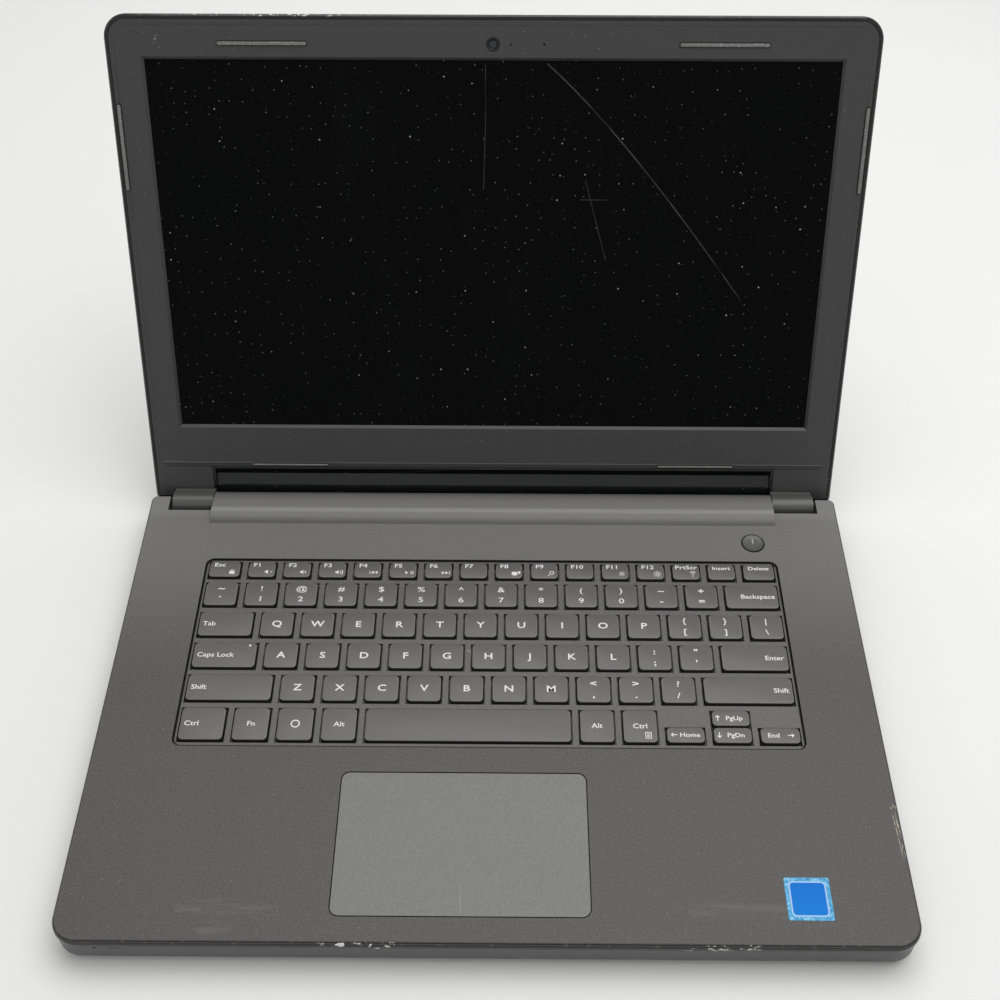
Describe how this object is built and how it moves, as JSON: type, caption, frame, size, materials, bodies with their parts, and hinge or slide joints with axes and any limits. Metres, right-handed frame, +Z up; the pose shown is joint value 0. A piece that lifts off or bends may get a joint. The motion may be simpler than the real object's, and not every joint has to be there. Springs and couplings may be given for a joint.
{
  "type": "laptop",
  "caption": "Worn black laptop, opened on its hinges, with a dusty scratched screen, a full keyboard, a click-down touchpad and side ports.",
  "frame": {"origin": "middle of the base's footprint, on the desk", "axes": "+X to the user's right, +Y away from the user, +Z up"},
  "size_m": [0.345, 0.335, 0.2273],
  "materials": {
    "shell_black": "fine-textured black plastic, worn and dusty",
    "bezel_black": "fine-textured black plastic",
    "key_black": "black key plastic with pale legends",
    "touchpad_grey": "fine-grained dark grey plastic",
    "lid_gloss": "glossy black plastic with chipped edges",
    "cap_satin": "satin black plastic",
    "screen_glass": "dark screen, dusty and scratched",
    "camera_black": "dark window",
    "rubber_black": "soft black rubber",
    "rubber_grey": "pale silicone rubber",
    "label_blue": "printed blue label with a pale border",
    "lens_clear": "clear plastic light guide",
    "sheet_metal": "plated sheet steel",
    "screw_steel": "black-coated steel",
    "board_green": "green circuit board",
    "copper": "plain copper",
    "drive_aluminium": "cast aluminium",
    "part_black": "plain black plastic"
  },
  "bodies": {
    "base": {"palm_rest": "shell_black", "bottom_case": "shell_black", "service_door": "shell_black", "rubber_feet": "rubber_black", "base_screws": "screw_steel", "keyboard_frame": "shell_black", "keyboard_plate": "sheet_metal", "dome_sheet": "rubber_grey", "touchpad_bracket": "sheet_metal", "processor_label": "label_blue", "status_light": "lens_clear", "motherboard": "board_green", "heat_sink": "copper", "fan_housing": "part_black", "memory_module": "board_green", "wireless_card": "sheet_metal", "coin_cell": "sheet_metal", "hard_drive": "drive_aluminium", "battery": "part_black", "left_speaker": "part_black", "right_speaker": "part_black", "power_jack": "part_black", "network_port": "part_black", "usb_ports": "sheet_metal", "video_port": "sheet_metal", "headset_jack": "part_black", "card_reader": "sheet_metal", "left_hinge_bracket": "sheet_metal", "right_hinge_bracket": "sheet_metal"},
    "lid": {"lid_cover": "lid_gloss", "screen_bezel": "bezel_black", "lcd_panel": "screen_glass", "left_hinge_arm": "sheet_metal", "right_hinge_arm": "sheet_metal", "left_hinge_cap": "cap_satin", "right_hinge_cap": "cap_satin", "camera_module": "camera_black", "bezel_bumpers": "rubber_black", "lid_screws": "screw_steel", "display_cable": "part_black"},
    "rotor": {"fan_rotor": "part_black"},
    "pad": {"touchpad": "touchpad_grey"},
    "power_key": {"power_button": "shell_black"},
    "function_keys": {"function_keys": "key_black"},
    "number_keys": {"number_keys": "key_black"},
    "upper_letter_keys": {"upper_letter_keys": "key_black"},
    "home_letter_keys": {"home_letter_keys": "key_black"},
    "lower_letter_keys": {"lower_letter_keys": "key_black"},
    "modifier_keys": {"modifier_keys": "key_black"},
    "tab_key": {"tab_key": "key_black"},
    "caps_lock_key": {"caps_lock_key": "key_black"},
    "left_shift_key": {"left_shift_key": "key_black"},
    "right_shift_key": {"right_shift_key": "key_black"},
    "enter_key": {"enter_key": "key_black"},
    "backspace_key": {"backspace_key": "key_black"},
    "space_bar": {"space_bar": "key_black"},
    "left_arrow_key": {"left_arrow_key": "key_black"},
    "up_arrow_key": {"up_arrow_key": "key_black"},
    "down_arrow_key": {"down_arrow_key": "key_black"},
    "right_arrow_key": {"right_arrow_key": "key_black"}
  },
  "joints": [
    {"name": "lid_hinge", "type": "hinge", "parent": "base", "child": "lid", "pos_m": [0, 0.11675, 0.0138], "axis": [-1, 0, 0], "range_deg": [-112.8, 22.2]},
    {"name": "rotor_spin", "type": "hinge", "parent": "base", "child": "rotor", "pos_m": [-0.1355, 0.07175, 0.0064], "axis": [0, 0, 1], "continuous": true},
    {"name": "pad_click", "type": "hinge", "parent": "base", "child": "pad", "pos_m": [-0.0104, -0.04285, 0.0163], "axis": [1, 0, 0], "range_deg": [0, 0.35], "stiffness_Nm_per_rad": 15, "springref_deg": -0.23},
    {"name": "power_press", "type": "slide", "parent": "base", "child": "power_key", "axis": [0, 0, -1], "range_m": [0, 0.0005], "stiffness_N_per_m": 1500, "springref_m": -0.0005},
    {"name": "function_press", "type": "slide", "parent": "base", "child": "function_keys", "axis": [0, 0, -1], "range_m": [0, 0.0014], "stiffness_N_per_m": 400, "springref_m": -0.0015},
    {"name": "number_press", "type": "slide", "parent": "base", "child": "number_keys", "axis": [0, 0, -1], "range_m": [0, 0.0014], "stiffness_N_per_m": 400, "springref_m": -0.0015},
    {"name": "upper_letter_press", "type": "slide", "parent": "base", "child": "upper_letter_keys", "axis": [0, 0, -1], "range_m": [0, 0.0014], "stiffness_N_per_m": 400, "springref_m": -0.0015},
    {"name": "home_letter_press", "type": "slide", "parent": "base", "child": "home_letter_keys", "axis": [0, 0, -1], "range_m": [0, 0.0014], "stiffness_N_per_m": 400, "springref_m": -0.0015},
    {"name": "lower_letter_press", "type": "slide", "parent": "base", "child": "lower_letter_keys", "axis": [0, 0, -1], "range_m": [0, 0.0014], "stiffness_N_per_m": 400, "springref_m": -0.0015},
    {"name": "modifier_press", "type": "slide", "parent": "base", "child": "modifier_keys", "axis": [0, 0, -1], "range_m": [0, 0.0014], "stiffness_N_per_m": 400, "springref_m": -0.0015},
    {"name": "tab_press", "type": "slide", "parent": "base", "child": "tab_key", "axis": [0, 0, -1], "range_m": [0, 0.0014], "stiffness_N_per_m": 400, "springref_m": -0.0015},
    {"name": "caps_lock_press", "type": "slide", "parent": "base", "child": "caps_lock_key", "axis": [0, 0, -1], "range_m": [0, 0.0014], "stiffness_N_per_m": 400, "springref_m": -0.0015},
    {"name": "left_shift_press", "type": "slide", "parent": "base", "child": "left_shift_key", "axis": [0, 0, -1], "range_m": [0, 0.0014], "stiffness_N_per_m": 400, "springref_m": -0.0015},
    {"name": "right_shift_press", "type": "slide", "parent": "base", "child": "right_shift_key", "axis": [0, 0, -1], "range_m": [0, 0.0014], "stiffness_N_per_m": 400, "springref_m": -0.0015},
    {"name": "enter_press", "type": "slide", "parent": "base", "child": "enter_key", "axis": [0, 0, -1], "range_m": [0, 0.0014], "stiffness_N_per_m": 400, "springref_m": -0.0015},
    {"name": "backspace_press", "type": "slide", "parent": "base", "child": "backspace_key", "axis": [0, 0, -1], "range_m": [0, 0.0014], "stiffness_N_per_m": 400, "springref_m": -0.0015},
    {"name": "space_bar_press", "type": "slide", "parent": "base", "child": "space_bar", "axis": [0, 0, -1], "range_m": [0, 0.0014], "stiffness_N_per_m": 400, "springref_m": -0.0015},
    {"name": "left_arrow_press", "type": "slide", "parent": "base", "child": "left_arrow_key", "axis": [0, 0, -1], "range_m": [0, 0.0014], "stiffness_N_per_m": 400, "springref_m": -0.0015},
    {"name": "up_arrow_press", "type": "slide", "parent": "base", "child": "up_arrow_key", "axis": [0, 0, -1], "range_m": [0, 0.0014], "stiffness_N_per_m": 400, "springref_m": -0.0015},
    {"name": "down_arrow_press", "type": "slide", "parent": "base", "child": "down_arrow_key", "axis": [0, 0, -1], "range_m": [0, 0.0014], "stiffness_N_per_m": 400, "springref_m": -0.0015},
    {"name": "right_arrow_press", "type": "slide", "parent": "base", "child": "right_arrow_key", "axis": [0, 0, -1], "range_m": [0, 0.0014], "stiffness_N_per_m": 400, "springref_m": -0.0015}
  ]
}
